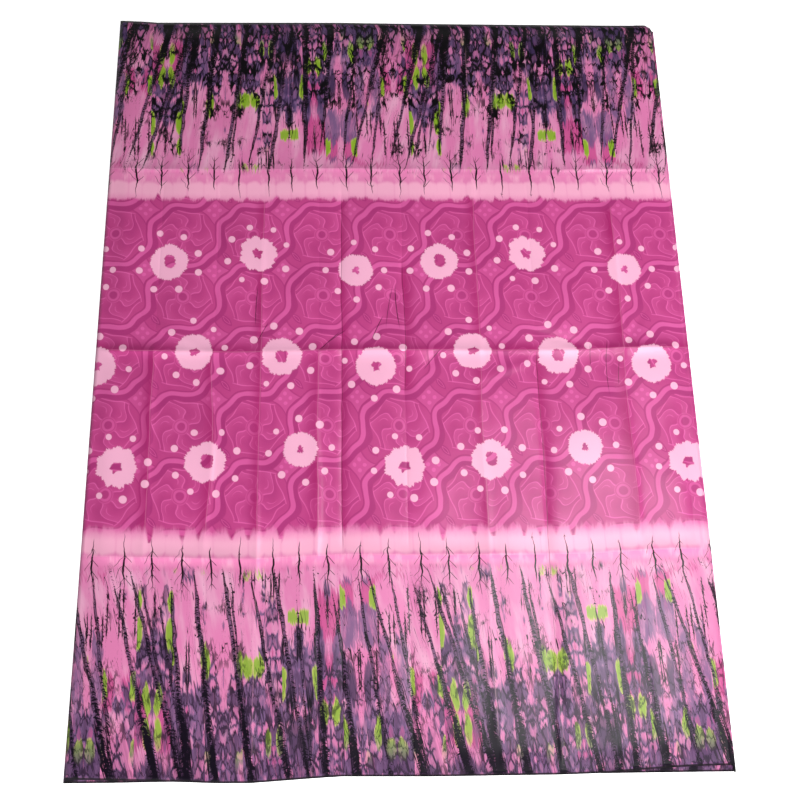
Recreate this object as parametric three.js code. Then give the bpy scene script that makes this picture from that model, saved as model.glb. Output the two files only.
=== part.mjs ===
// One length of glazed, printed cotton damask (bazin), doubled end to end and laid out flat.
// Millimetres. X runs along the cloth, from the cut ends on the left to the fold on the right.
// Y runs across the cloth, from selvedge to selvedge, and Z is up from the surface it lies on.
import * as THREE from "three";

// Driving sizes
const doubledLength = 900; // from the cut ends to the fold
const clothWidth = 1170; // from selvedge to selvedge
const wall = 1.2; // one layer of cloth
const gap = 0.3; // between pieces that meet
const bedding = 2.3; // how far the upper layer stands off the lower one, away from creases
const leastStand = 0.4; // the same in the bottom of a valley
const edgeStand = 0.6; // the same along the open edges
const foldStand = 1.6; // the same along the fold, which isn't pressed flat
const edgeFall = 34; // how far in from an edge the cloth settles down to it
const lowerShare = 0.18; // the part of each rise that the lower layer makes too
const foldReach = 3.2; // how far the fold bulges past the ends of the two layers
const cornerRadius = 14; // the turned corner where the fold meets the upper selvedge
const fineStep = 58; // the widest step between two sections of the upper layer
const coarseStep = 80; // the same in the lower layer, where little shows

const halfLength = doubledLength / 2;
const halfWidth = clothWidth / 2;

// The upper selvedge, from left to right: how far the two layers reach up
const topEdge = [
  { across: -450, upper: 588.9, lower: 586.5 },
  { across: -411, upper: 587.0, lower: 585.0 },
  { across: -386, upper: 585.0, lower: 583.5 },
  { across: -84, upper: 584.7, lower: 583.0 },
  { across: 17, upper: 583.0, lower: 581.5 },
  { across: 186, upper: 581.0, lower: 579.0 },
  { across: 374, upper: 579.2, lower: 574.0 },
  { across: 450, upper: 578.6, lower: 566.5 },
];

// The lower selvedge: the upper layer sags in the middle left, and the lower layer
// shows below it at both corners
const bottomEdge = [
  { across: -450, upper: -579.4, lower: -584.7 },
  { across: -386, upper: -581.9, lower: -585.5 },
  { across: -322, upper: -584.4, lower: -585.6 },
  { across: -246, upper: -588.2, lower: -586.4 },
  { across: -201, upper: -588.9, lower: -586.8 },
  { across: -121, upper: -584.9, lower: -583.6 },
  { across: -81, upper: -583.3, lower: -582.0 },
  { across: 39, upper: -585.8, lower: -584.6 },
  { across: 213, upper: -587.0, lower: -586.4 },
  { across: 281, upper: -586.2, lower: -587.1 },
  { across: 306, upper: -584.4, lower: -587.3 },
  { across: 368, upper: -581.0, lower: -587.8 },
  { across: 402, upper: -580.1, lower: -588.0 },
  { across: 450, upper: -579.6, lower: -588.5 },
];

// The cut ends on the left, and the outside of the fold on the right
const sideEdges = [
  { along: -585, upperLeft: -446.4, lowerLeft: -447.9, fold: 452.3 },
  { along: 0, upperLeft: -449.4, lowerLeft: -448.2, fold: 449.8 },
  { along: 585, upperLeft: -452.3, lowerLeft: -451.0, fold: 447.6 },
];

// Creases that run across the length, left by the packet it was folded into: a rise
// below zero is a valley
const crossCreases = [
  { along: 310, rise: 2.6, reach: 12 },
  { along: 8, rise: -1.7, reach: 13 },
  { along: -295, rise: 2.4, reach: 12 },
];

// Creases that run from selvedge towards selvedge; waver is how far one strays sideways
const lengthCreases = [
  { across: -361, from: -300, to: 12, rise: 2.2, reach: 13, waver: 1.0 },
  { across: -272, from: -290, to: 4, rise: -1.8, reach: 12, waver: 4.5 },
  { across: -201, from: -560, to: 262, rise: 1.3, reach: 11, waver: 0.8 },
  { across: -114, from: -300, to: 12, rise: 2.1, reach: 12, waver: 1.2 },
  { across: -79, from: -290, to: 262, rise: -1.2, reach: 10, waver: 0.6 },
  { across: 16, from: -60, to: 152, rise: -1.9, reach: 12, waver: 3.0 },
  { across: 131, from: -540, to: 540, rise: 1.2, reach: 11, waver: 1.5 },
  { across: 218, from: -575, to: 12, rise: -1.9, reach: 11, waver: 1.2 },
  { across: 351, from: -272, to: 250, rise: -1.8, reach: 12, waver: 1.6 },
  { across: 431, from: 372, to: 575, rise: -1.3, reach: 9, waver: 1.0 },
];

// How far the cloth crowns between creases, in each of the four panels of the packet
const panels = [
  { from: -585, to: -295, crown: 1.5 },
  { from: -295, to: 8, crown: 2.1 },
  { from: 8, to: 310, crown: 1.7 },
  { from: 310, to: 585, crown: 1.3 },
];

// The value of one column of a table at a place, along straight lines between its rows
function readTable(table, key, place, column) {
  const next = table.findIndex((row) => row[key] > place);
  if (next < 0) return table[table.length - 1][column];
  const high = table[next];
  const low = table[Math.max(0, next - 1)];
  if (high === low) return low[column];
  const share = (place - low[key]) / (high[key] - low[key]);
  return THREE.MathUtils.lerp(low[column], high[column], share);
}

// Places for the sections: the wanted sides of each crease, and enough between
function stations(from, to, creases, key, sides, widestStep) {
  const wanted = creases.flatMap((crease) =>
    sides.map((side) => crease[key] + side * crease.reach)
  );
  const inside = wanted.filter((place) => place > from + 6 && place < to - 6);
  const sorted = [from, ...inside.sort((a, b) => a - b), to];
  const spaced = [];
  for (const place of sorted) {
    const last = spaced[spaced.length - 1];
    if (spaced.length && place - last < 4) continue;
    const steps = spaced.length ? Math.ceil((place - last) / widestStep) : 1;
    for (let i = 1; i < steps; i++) spaced.push(last + ((place - last) * i) / steps);
    spaced.push(place);
  }
  return spaced;
}

// 1 inside a stretch, falling to 0 past its two ends
function within(place, from, to, fade) {
  const rising = THREE.MathUtils.smoothstep(place, from - fade, from + fade);
  return rising * (1 - THREE.MathUtils.smoothstep(place, to - fade, to + fade));
}

// How far a crease strays sideways at a place along it
function strayOf(crease, along) {
  const turn = along / 47 + crease.across / 19;
  return crease.waver * Math.sin(turn) * within(along, crease.from, crease.to, 30);
}

// The crown of the cloth between two neighbouring creases
function crownAt(across, along) {
  const panel = panels.find((row) => along >= row.from && along <= row.to);
  if (!panel) return 0;
  const borders = [-halfLength, ...lengthCreases.map((crease) => crease.across), halfLength];
  const next = borders.findIndex((border) => border >= across);
  if (next < 1) return 0;
  const [left, right] = [borders[next - 1], borders[next]];
  const sideways = Math.sin((Math.PI * (across - left)) / (right - left));
  const lengthways = Math.sin((Math.PI * (along - panel.from)) / (panel.to - panel.from));
  const spread = Math.min(1, (right - left) / 110);
  return panel.crown * spread * Math.sqrt(sideways) * Math.sqrt(lengthways);
}

// How far the upper layer stands off the lower one
function standAt(across, along) {
  let rise = crownAt(across, along);
  for (const crease of crossCreases) {
    const off = Math.abs(along - crease.along) / crease.reach;
    rise += crease.rise * Math.max(0, 1 - off);
  }
  for (const crease of lengthCreases) {
    const off = Math.abs(across - crease.across) / crease.reach;
    rise += crease.rise * Math.max(0, 1 - off) * within(along, crease.from, crease.to, 20);
  }
  const open = Math.min(across + halfLength, halfWidth - Math.abs(along));
  const inward = THREE.MathUtils.smoothstep(open, 0, edgeFall);
  const unfolded = THREE.MathUtils.smoothstep(halfLength - across, 0, edgeFall);
  const free = Math.max(leastStand, bedding + rise);
  const settled = THREE.MathUtils.lerp(edgeStand, free, inward);
  return THREE.MathUtils.lerp(foldStand, settled, unfolded);
}

// Where the two layers end beside the fold
function seamAt(along) {
  return readTable(sideEdges, "along", along, "fold") - foldReach - gap / 2;
}

// The right end of a layer, turned in round the corner at the upper selvedge
function rightEndAt(along, top, layer) {
  const seam = seamAt(along) - gap / 2;
  const past = along - (top - cornerRadius);
  if (past <= 0 || layer !== "upper") return seam;
  const level = Math.min(past, cornerRadius * 0.985);
  return seam - cornerRadius + Math.sqrt(cornerRadius ** 2 - level ** 2);
}

// The place on the floor of a point of the cloth, given by its even place in the weave
function placeOf(across, along, layer) {
  const top = readTable(topEdge, "across", across, layer);
  const bottom = readTable(bottomEdge, "across", across, layer);
  const y = THREE.MathUtils.mapLinear(along, -halfWidth, halfWidth, bottom, top);
  const left = readTable(sideEdges, "along", along, `${layer}Left`);
  const right = rightEndAt(y, readTable(topEdge, "across", halfLength, layer), layer);
  let x = THREE.MathUtils.mapLinear(across, -halfLength, halfLength, left, right);
  for (const crease of lengthCreases) {
    const near = Math.max(0, 1 - Math.abs(across - crease.across) / (crease.reach * 2));
    x += near * strayOf(crease, along);
  }
  return [x, y];
}

// The points of a grid of sections, row by row
function gridPoints(columns, rows, place, height) {
  return rows.flatMap((along) =>
    columns.flatMap((across) => [...place(across, along), height(across, along)])
  );
}

// Two faces for each cell of a grid, seen from above
function gridFaces(wide, deep) {
  const faces = [];
  for (let j = 0; j + 1 < deep; j++) {
    for (let i = 0; i + 1 < wide; i++) {
      const a = j * wide + i;
      const b = a + 1;
      const c = b + wide;
      const d = a + wide;
      faces.push(a, b, c, a, c, d);
    }
  }
  return faces;
}

// The points round the edge of a grid, counter-clockwise from above
function gridRim(wide, deep) {
  const rim = [];
  for (let i = 0; i + 1 < wide; i++) rim.push(i);
  for (let j = 0; j + 1 < deep; j++) rim.push(j * wide + wide - 1);
  for (let i = wide - 1; i > 0; i--) rim.push((deep - 1) * wide + i);
  for (let j = deep - 1; j > 0; j--) rim.push(j * wide);
  return rim;
}

// The same faces seen from below, counted from another first point
function turnedOver(faces, first) {
  return faces.map((point) => point + first).reverse();
}

// A wall of cloth: one grid on top, the same grid below it, and its edge between them
function wallGeometry(columns, rows, place, topHeight, underHeight) {
  const top = gridPoints(columns, rows, place, topHeight);
  const under = gridPoints(columns, rows, place, underHeight);
  const first = columns.length * rows.length;
  const faces = gridFaces(columns.length, rows.length);
  const rim = gridRim(columns.length, rows.length);
  faces.push(...turnedOver(faces, first));
  rim.forEach((here, k) => {
    const next = rim[(k + 1) % rim.length];
    faces.push(first + here, first + next, next, first + here, next, here);
  });
  return geometryFrom([...top, ...under], faces);
}

// A layer that lies on the floor: a grid on top, and one flat face below
function lyingGeometry(columns, rows, place, topHeight) {
  const top = gridPoints(columns, rows, place, topHeight);
  const first = columns.length * rows.length;
  const faces = gridFaces(columns.length, rows.length);
  const rim = gridRim(columns.length, rows.length);
  const outline = rim.map((here) => new THREE.Vector2(top[3 * here], top[3 * here + 1]));
  const under = outline.flatMap((corner) => [corner.x, corner.y, 0]);
  const flat = THREE.ShapeUtils.triangulateShape(outline, []).flat();
  faces.push(...turnedOver(flat, first));
  rim.forEach((here, k) => {
    const next = (k + 1) % rim.length;
    faces.push(first + k, first + next, rim[next], first + k, rim[next], here);
  });
  return geometryFrom([...top, ...under], faces);
}

function geometryFrom(points, faces) {
  const geometry = new THREE.BufferGeometry();
  geometry.setAttribute("position", new THREE.Float32BufferAttribute(points, 3));
  geometry.setIndex(faces);
  geometry.computeVertexNormals();
  return geometry;
}

function columnsOf(sides, widestStep) {
  return stations(-halfLength, halfLength, lengthCreases, "across", sides, widestStep);
}

function rowsOf(sides, widestStep) {
  return stations(-halfWidth, halfWidth, crossCreases, "along", sides, widestStep);
}

function upperLayerGeometry() {
  const corner = [0.15, 0.45, 1].map((share) => halfWidth - share * cornerRadius);
  const rows = [...rowsOf([-1, 0, 1], fineStep), ...corner].sort((a, b) => a - b);
  const underside = (across, along) => wall + gap + standAt(across, along);
  const topside = (across, along) => underside(across, along) + wall;
  const place = (across, along) => placeOf(across, along, "upper");
  return wallGeometry(columnsOf([-1, 0, 1], fineStep), rows, place, topside, underside);
}

function lowerLayerGeometry() {
  const topside = (across, along) => wall + lowerShare * (standAt(across, along) - leastStand);
  const place = (across, along) => placeOf(across, along, "lower");
  return lyingGeometry(columnsOf([0], coarseStep), rowsOf([0], coarseStep), place, topside);
}

// The bend that joins the two layers: a wall swept down the right side, round outside
// and inside, whose two ends face the ends of the layers
function foldGeometry() {
  const bends = 8;
  const middle = (2 * wall + gap + foldStand) / 2;
  const ring = [];
  for (const [reach, rise, turn] of [
    [foldReach, middle, 1],
    [foldReach - wall, middle - wall, -1],
  ]) {
    for (let i = 0; i <= bends; i++) {
      const angle = turn * Math.PI * (i / bends - 0.5);
      ring.push([reach * Math.cos(angle), middle + rise * Math.sin(angle)]);
    }
  }
  const top = readTable(topEdge, "across", halfLength, "lower");
  const bottom = readTable(bottomEdge, "across", halfLength, "lower");
  const between = rowsOf([0], coarseStep).filter((along) => along > bottom && along < top);
  const foldRows = [bottom, ...between, top];
  const points = [];
  const faces = [];
  const count = ring.length;
  for (const along of foldRows) {
    const seam = seamAt(along) + gap / 2;
    for (const [out, up] of ring) points.push(seam + out, along, up);
  }
  for (let j = 0; j + 1 < foldRows.length; j++) {
    for (let i = 0; i < count; i++) {
      const next = (i + 1) % count;
      const [a, b] = [j * count + i, j * count + next];
      const [c, d] = [b + count, a + count];
      faces.push(a, c, b, a, d, c);
    }
  }
  const lastRow = (foldRows.length - 1) * count;
  for (let i = 0; i < bends; i++) {
    const [a, b, c, d] = [i, i + 1, count - 2 - i, count - 1 - i];
    faces.push(a, b, c, a, c, d);
    faces.push(lastRow + a, lastRow + c, lastRow + b, lastRow + a, lastRow + d, lastRow + c);
  }
  return geometryFrom(points, faces);
}

function piece(name, geometry, color, roughness) {
  const material = new THREE.MeshStandardMaterial({ color, roughness, metalness: 0 });
  const mesh = new THREE.Mesh(geometry, material);
  mesh.name = name;
  return mesh;
}

const bazin = new THREE.Group();
bazin.add(piece("upper_layer", upperLayerGeometry(), "#b8448a", 0.45));
bazin.add(piece("lower_layer", lowerLayerGeometry(), "#a8558c", 0.5));
bazin.add(piece("right_fold", foldGeometry(), "#6a4a74", 0.45));

export default bazin;
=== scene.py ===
import math

import bpy
import numpy as np
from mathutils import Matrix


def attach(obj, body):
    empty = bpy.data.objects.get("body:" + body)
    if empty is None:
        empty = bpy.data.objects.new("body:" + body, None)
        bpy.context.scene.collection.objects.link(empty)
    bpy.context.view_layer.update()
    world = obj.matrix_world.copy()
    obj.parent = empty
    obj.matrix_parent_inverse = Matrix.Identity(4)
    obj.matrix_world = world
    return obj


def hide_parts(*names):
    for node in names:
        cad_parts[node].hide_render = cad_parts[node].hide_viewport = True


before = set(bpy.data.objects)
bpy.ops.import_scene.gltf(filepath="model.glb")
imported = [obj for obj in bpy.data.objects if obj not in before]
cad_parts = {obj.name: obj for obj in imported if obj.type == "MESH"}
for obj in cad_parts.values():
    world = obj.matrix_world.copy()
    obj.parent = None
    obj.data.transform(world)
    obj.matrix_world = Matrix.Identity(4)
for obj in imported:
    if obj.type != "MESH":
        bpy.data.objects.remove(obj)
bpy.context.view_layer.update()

mm = 0.001
print("frame loaded:", ", ".join(sorted(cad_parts)))

# Sizes in millimetres, the same as the solids'
cloth = {
    "length": 900.0,        # cut ends to fold
    "width": 1170.0,        # selvedge to selvedge
    "wall": 1.2,            # one layer of the solids
    "skin": 0.8,            # one layer as it is shown
    "gap": 0.3,
    "bedding": 2.3,         # how far the upper layer stands off the lower one
    "leastStand": 0.4,
    "edgeStand": 0.6,
    "foldStand": 1.6,
    "edgeFall": 34.0,
    "lowerShare": 0.18,
    "foldReach": 3.2,
    "foldArc": 7.04,        # of the cloth's length that goes round the fold
    "foldSkin": 0.96,
    "foldTuck": 0.25,       # how far the fold is tucked in beside the upper layer
    "cornerRadius": 14.0,
    "grid": 5.9,            # widest step of the upper layer's mesh
    "coarseGrid": 12.0,     # the same for the lower layer
    "bakeSpan": 1300.0,     # side of the square that OFBake covers
}


def named(columns, *rows):  # a table with a name for each of its columns
    return [dict(zip(columns.split(), row)) for row in rows]


# upper selvedge: across, upper layer, lower layer
topEdge = np.array([
    [-450, 588.9, 586.5], [-411, 587.0, 585.0], [-386, 585.0, 583.5], [-84, 584.7, 583.0],
    [17, 583.0, 581.5], [186, 581.0, 579.0], [374, 579.2, 574.0], [450, 578.6, 566.5],
])
# lower selvedge: across, upper layer, lower layer
bottomEdge = np.array([
    [-450, -579.4, -584.7], [-386, -581.9, -585.5], [-322, -584.4, -585.6], [-246, -588.2, -586.4],
    [-201, -588.9, -586.8], [-121, -584.9, -583.6], [-81, -583.3, -582.0], [39, -585.8, -584.6],
    [213, -587.0, -586.4], [281, -586.2, -587.1], [306, -584.4, -587.3], [368, -581.0, -587.8],
    [402, -580.1, -588.0], [450, -579.6, -588.5],
])
# sides: along, upper layer's left, lower layer's left, outside of the fold
sideEdges = np.array([
    [-585, -446.4, -447.9, 452.3], [0, -449.4, -448.2, 449.8], [585, -452.3, -451.0, 447.6],
])
# creases across the length, with their reach towards the lower selvedge and towards the upper one
crossCreases = named("along rise reach", (310, 2.8, (8, 20)), (8, 4.1, (15, 20)), (-295, 2.8, (10, 18)))
middleCrease = crossCreases[1]
# creases from selvedge towards selvedge, with their reach to the left and to the right
lengthCreases = named(
    "across from to rise reach waver",
    (-361, -300, 12, 2.6, (22, 9), 1.0),
    (-272, -290, 4, 2.4, (20, 9), 4.5),
    (-201, -560, 262, 2.0, (18, 9), 0.8),
    (-114, -300, 12, 3.0, (26, 8), 1.2),
    (-79, -290, 262, -1.6, (9, 16), 0.6),
    (16, -60, 152, -2.4, (9, 22), 3.0),
    (131, -540, 540, 2.0, (20, 9), 1.5),
    (218, -575, 12, -2.4, (8, 20), 1.2),
    (351, -272, 250, 3.0, (24, 8), 1.6),
    (431, 372, 575, -1.6, (9, 9), 1.0),
)
# short wrinkles beside the middle crease: line is how dark the painted shade line in it is
wrinkles = named(
    "across along turn half rise reach line",
    (4, 79, 93, 44, -2.4, 8, 0.55),
    (-7, 80, 80, 44, -1.4, 7, 0.35),
    (-25, 44, 65, 27, -2.4, 8, 0.55),
    (-99, 22, 42, 28, -2.4, 8, 0.5),
    (-87, 30, 35, 22, 1.6, 7, 0.4),
    (-199, 41, 62, 22, -2.0, 8, 0.45),
    (-210, 82, 87, 40, -1.6, 8, 0.5),
    (58, -5, 50, 28, -2.0, 8, 0.4),
    (170, -22, 20, 55, 1.8, 10, 0),
    (258, 26, -18, 62, -2.2, 10, 0),
    (299, -3, 89, 24, -1.8, 8, 0.35),
    (323, -19, 88, 56, -2.0, 8, 0.4),
    (341, -30, 85, 24, 1.4, 8, 0.35),
    (370, 40, 58, 48, -1.8, 9, 0),
    (-330, 34, -26, 52, 1.8, 10, 0),
)
wrinkleBend = 700  # the larger, the straighter
# how unevenly the cloth lies between them: wave length across and along, height, start
swells = named("across along height start",
               (310, 170, 0.55, 0.4), (-190, 240, 0.45, 2.1), (95, 520, 0.3, 1.2))
# the four panels of the packet it was folded into
panels = named("from to crown", (-585, -295, 1.5), (-295, 8, 2.1), (8, 310, 1.7), (310, 585, 1.3))


def ease(value, low, high):
    share = np.clip((value - low) / (high - low), 0.0, 1.0)
    return share * share * (3.0 - 2.0 * share)


def within(place, low, high, fade):
    return ease(place, low - fade, low + fade) * (1.0 - ease(place, high - fade, high + fade))


def creaseProfile(off, reach):  # 1 on the crease, falling off to both sides with a soft tip
    off = np.where(off < 0, off / reach[0], off / reach[1])
    return np.exp(-2.4 * (np.sqrt(off * off + 0.012) - 0.11))


def alongWrinkle(wrinkle, across, along):
    # the way along a wrinkle from its middle, and the way off it
    turn = math.radians(wrinkle["turn"])
    offX, offY = across - wrinkle["across"], along - wrinkle["along"]
    length = offX * math.cos(turn) + offY * math.sin(turn)
    return length, offY * math.cos(turn) - offX * math.sin(turn) + length * length / wrinkleBend


def wrinkleRise(across, along):
    rise = np.zeros_like(across)
    for wrinkle in wrinkles:
        length, off = alongWrinkle(wrinkle, across, along)
        fade = 1 - ease(np.abs(length), wrinkle["half"] * 0.3, wrinkle["half"])
        rise += wrinkle["rise"] * fade * creaseProfile(off, (wrinkle["reach"], wrinkle["reach"]))
    return rise


def swellRise(across, along):
    rise = np.zeros_like(across)
    for swell in swells:
        phase = across / swell["across"] + along / swell["along"]
        rise += swell["height"] * np.sin(2 * np.pi * phase + swell["start"])
    return rise


def crownAt(across, along):
    crown = np.zeros_like(across)
    borders = [-cloth["length"] / 2] + [c["across"] for c in lengthCreases] + [cloth["length"] / 2]
    for panel in panels:
        inPanel = (along >= panel["from"]) & (along <= panel["to"])
        span = panel["to"] - panel["from"]
        lengthways = np.sin(np.pi * np.clip((along - panel["from"]) / span, 0, 1))
        for left, right in zip(borders, borders[1:]):
            here = inPanel & (across >= left) & (across <= right)
            sideways = np.sin(np.pi * np.clip((across - left) / (right - left), 0, 1))
            height = panel["crown"] * min(1.0, (right - left) / 110.0)
            crown += np.where(here, height * np.sqrt(sideways) * np.sqrt(lengthways), 0.0)
    return crown


def standAt(across, along):
    rise = crownAt(across, along) + wrinkleRise(across, along) + swellRise(across, along)
    for crease in crossCreases:
        unevenly = 0.8 + 0.25 * np.sin(across / 61 + crease["along"])
        rise += crease["rise"] * unevenly * creaseProfile(along - crease["along"], crease["reach"])
    for crease in lengthCreases:
        lengthways = within(along, crease["from"], crease["to"], 20)
        unevenly = 0.8 + 0.25 * np.sin(along / 53 + crease["across"])
        profile = creaseProfile(across - crease["across"], crease["reach"])
        rise += crease["rise"] * unevenly * profile * lengthways
    halfLength, halfWidth = cloth["length"] / 2, cloth["width"] / 2
    openEdge = np.minimum(across + halfLength, halfWidth - np.abs(along))
    inward = ease(openEdge, 0, cloth["edgeFall"])
    unfolded = ease(halfLength - across, 0, cloth["edgeFall"])
    free = np.maximum(cloth["leastStand"], cloth["bedding"] + rise)
    settled = cloth["edgeStand"] + (free - cloth["edgeStand"]) * inward
    return cloth["foldStand"] + (settled - cloth["foldStand"]) * unfolded


def seamAt(along):
    return np.interp(along, sideEdges[:, 0], sideEdges[:, 3]) - cloth["foldReach"] - cloth["gap"] / 2


def placeOf(across, along, layer):  # layer is 1 for the upper one and 2 for the lower one
    halfLength, halfWidth = cloth["length"] / 2, cloth["width"] / 2
    top = np.interp(across, topEdge[:, 0], topEdge[:, layer])
    bottom = np.interp(across, bottomEdge[:, 0], bottomEdge[:, layer])
    y = bottom + (top - bottom) * (along + halfWidth) / (2 * halfWidth)
    left = np.interp(along, sideEdges[:, 0], sideEdges[:, layer])
    right = seamAt(y)
    if layer == 1:
        radius = cloth["cornerRadius"]
        past = np.clip(y - (topEdge[-1, 1] - radius), 0, radius * 0.985)
        right = right - radius + np.sqrt(radius ** 2 - past ** 2)
    x = left + (right - left) * (across + halfLength) / (2 * halfLength)
    for crease in lengthCreases:
        near = np.maximum(0, 1 - np.abs(across - crease["across"]) / sum(crease["reach"]))
        stray = crease["waver"] * np.sin(along / 47 + crease["across"] / 19)
        x = x + near * stray * within(along, crease["from"], crease["to"], 30)
    return x, y


def stations(low, high, widest, creases=(), key="across", offsets=(0, 1.2, 2.8, 5.0, 8.0)):
    # places of the mesh's columns or rows, closer together beside the creases
    wanted = {low, high}
    for crease in creases:
        for off in offsets:
            for side in (-off, off):
                place = crease[key] + side
                if low + 2 < place < high - 2:
                    wanted.add(place)
    spaced = []
    for place in sorted(wanted):
        if spaced and place - spaced[-1] < 0.9:
            continue
        if spaced:
            last = spaced[-1]
            steps = max(1, math.ceil((place - last) / widest))
            spaced += [last + (place - last) * i / steps for i in range(1, steps)]
        spaced.append(place)
    return np.array(spaced)


def meshPiece(name, points, faces, plan, weave):
    # in millimetres: plan is each point's place as the piece lies, weave the one in the unfolded cloth
    mesh = bpy.data.meshes.new(name)
    mesh.from_pydata((points * mm).tolist(), [], faces)
    corner = np.empty(len(mesh.loops), dtype=np.int32)
    mesh.loops.foreach_get("vertex_index", corner)
    for layerName, places in (("OFBake", plan / cloth["bakeSpan"] + 0.5), ("weave", weave * mm)):
        layer = mesh.uv_layers.new(name=layerName)
        layer.data.foreach_set("uv", places[corner].astype(np.float32).ravel())
    mesh.polygons.foreach_set("use_smooth", np.ones(len(mesh.polygons), dtype=bool))
    mesh.update()
    piece = bpy.data.objects.new(name, mesh)
    bpy.context.collection.objects.link(piece)
    return piece


def gridFaces(wide, shadeBand, first=0, turned=False):
    faces = []
    for j in range(shadeBand - 1):
        for i in range(wide - 1):
            a = first + j * wide + i
            face = (a, a + 1, a + 1 + wide, a + wide)
            faces.append(face[::-1] if turned else face)
    return faces


def gridRim(wide, shadeBand):
    return (list(range(wide - 1)) + [j * wide + wide - 1 for j in range(shadeBand - 1)]
            + [(shadeBand - 1) * wide + i for i in range(wide - 1, 0, -1)]
            + [j * wide for j in range(shadeBand - 1, 0, -1)])


def slab(name, columns, rows, layer, topHeight, underHeight, weaveAcross):
    across, along = np.meshgrid(columns, rows)
    x, y = placeOf(across, along, layer)
    top = np.stack([x, y, topHeight(across, along)], -1).reshape(-1, 3)
    under = np.stack([x, y, underHeight(across, along)], -1).reshape(-1, 3)
    wide, shadeBand = len(columns), len(rows)
    count = wide * shadeBand
    faces = gridFaces(wide, shadeBand) + gridFaces(wide, shadeBand, count, True)
    rim = gridRim(wide, shadeBand)
    for here, after in zip(rim, rim[1:] + rim[:1]):
        faces.append((count + here, count + after, after, here))
    plan = np.stack([across, along], -1).reshape(-1, 2)
    weave = np.stack([weaveAcross(across), along], -1).reshape(-1, 2)
    points = np.vstack([top, under])
    return meshPiece(name, points, faces, np.vstack([plan, plan]), np.vstack([weave, weave]))


def upperTop(across, along):
    return 2 * cloth["wall"] + cloth["gap"] + standAt(across, along)


def makeUpperLayer():
    halfLength, halfWidth = cloth["length"] / 2, cloth["width"] / 2
    columns = stations(-halfLength, halfLength, cloth["grid"], lengthCreases, "across")
    rows = stations(-halfWidth, halfWidth, cloth["grid"], crossCreases, "along")
    return slab("upperLayer", columns, rows, 1, upperTop,
                lambda across, along: upperTop(across, along) - cloth["skin"], lambda across: across)


def makeLowerLayer():
    halfLength, halfWidth = cloth["length"] / 2, cloth["width"] / 2
    columns = stations(-halfLength, halfLength, cloth["coarseGrid"])
    rows = stations(-halfWidth, halfWidth, cloth["coarseGrid"])

    def top(across, along):
        return cloth["wall"] + cloth["lowerShare"] * (standAt(across, along) - cloth["leastStand"])
    return slab("lowerLayer", columns, rows, 2, top, lambda across, along: np.zeros_like(across),
                lambda across: cloth["length"] + cloth["foldArc"] - across)


def makeRightFold():
    bends, steps = 14, 180
    middle = cloth["wall"] + (cloth["gap"] + cloth["foldStand"]) / 2
    reach = cloth["foldReach"]
    skin = cloth["foldSkin"]
    angles = np.linspace(-np.pi / 2, np.pi / 2, bends + 1)
    outer = np.stack([reach * np.cos(angles), middle + middle * np.sin(angles)], -1)
    inner = np.stack([(reach - skin) * np.cos(angles), middle + (middle - skin) * np.sin(angles)], -1)
    ring = np.vstack([outer, inner[::-1]])
    rows = np.linspace(bottomEdge[-1, 2], topEdge[-1, 2], steps)
    points = []
    weave = []
    for along in rows:
        seam = seamAt(along) + cloth["gap"] / 2 - cloth["foldTuck"]
        for k, (out, up) in enumerate(ring):
            points.append((seam + out, along, up))
            turn = (k if k <= bends else 2 * bends + 1 - k) / bends  # 0 below, 1 on top
            weave.append((cloth["length"] / 2 + cloth["foldArc"] * (1 - turn), along))
    count = len(ring)
    faces = []
    for j in range(len(rows) - 1):
        for i in range(count):
            after = (i + 1) % count
            here, beyond = j * count, (j + 1) * count
            faces.append((beyond + i, beyond + after, here + after, here + i))
    last = (len(rows) - 1) * count
    for i in range(bends):
        face = (i, i + 1, count - 2 - i, count - 1 - i)
        faces.append(face)
        faces.append(tuple(last + k for k in reversed(face)))
    return meshPiece("rightFold", np.array(points), faces, np.array(weave), np.array(weave))


def tint(code):  # a dye from its usual six-figure code, in the shader's own terms
    parts = [int(code[i:i + 2], 16) / 255 for i in (1, 3, 5)]
    linear = [p / 12.92 if p <= 0.04045 else ((p + 0.055) / 1.055) ** 2.4 for p in parts]
    return (*linear, 1.0)


class Thread:
    # one number that the shader works out, so that a motif reads as a sum
    def __init__(self, draft, socket):
        self.draft, self.socket = draft, socket

    def __add__(self, other):
        return self.draft.calc("ADD", self, other)

    def __sub__(self, other):
        return self.draft.calc("SUBTRACT", self, other)

    def __mul__(self, other):
        return self.draft.calc("MULTIPLY", self, other)

    def __truediv__(self, other):
        return self.draft.calc("DIVIDE", self, other)

    def __rsub__(self, other):
        return self.draft.calc("SUBTRACT", other, self)

    __radd__ = __add__
    __rmul__ = __mul__


def setSockets(node, values):
    for socket, value in values.items():
        node.inputs[socket].default_value = value


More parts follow.
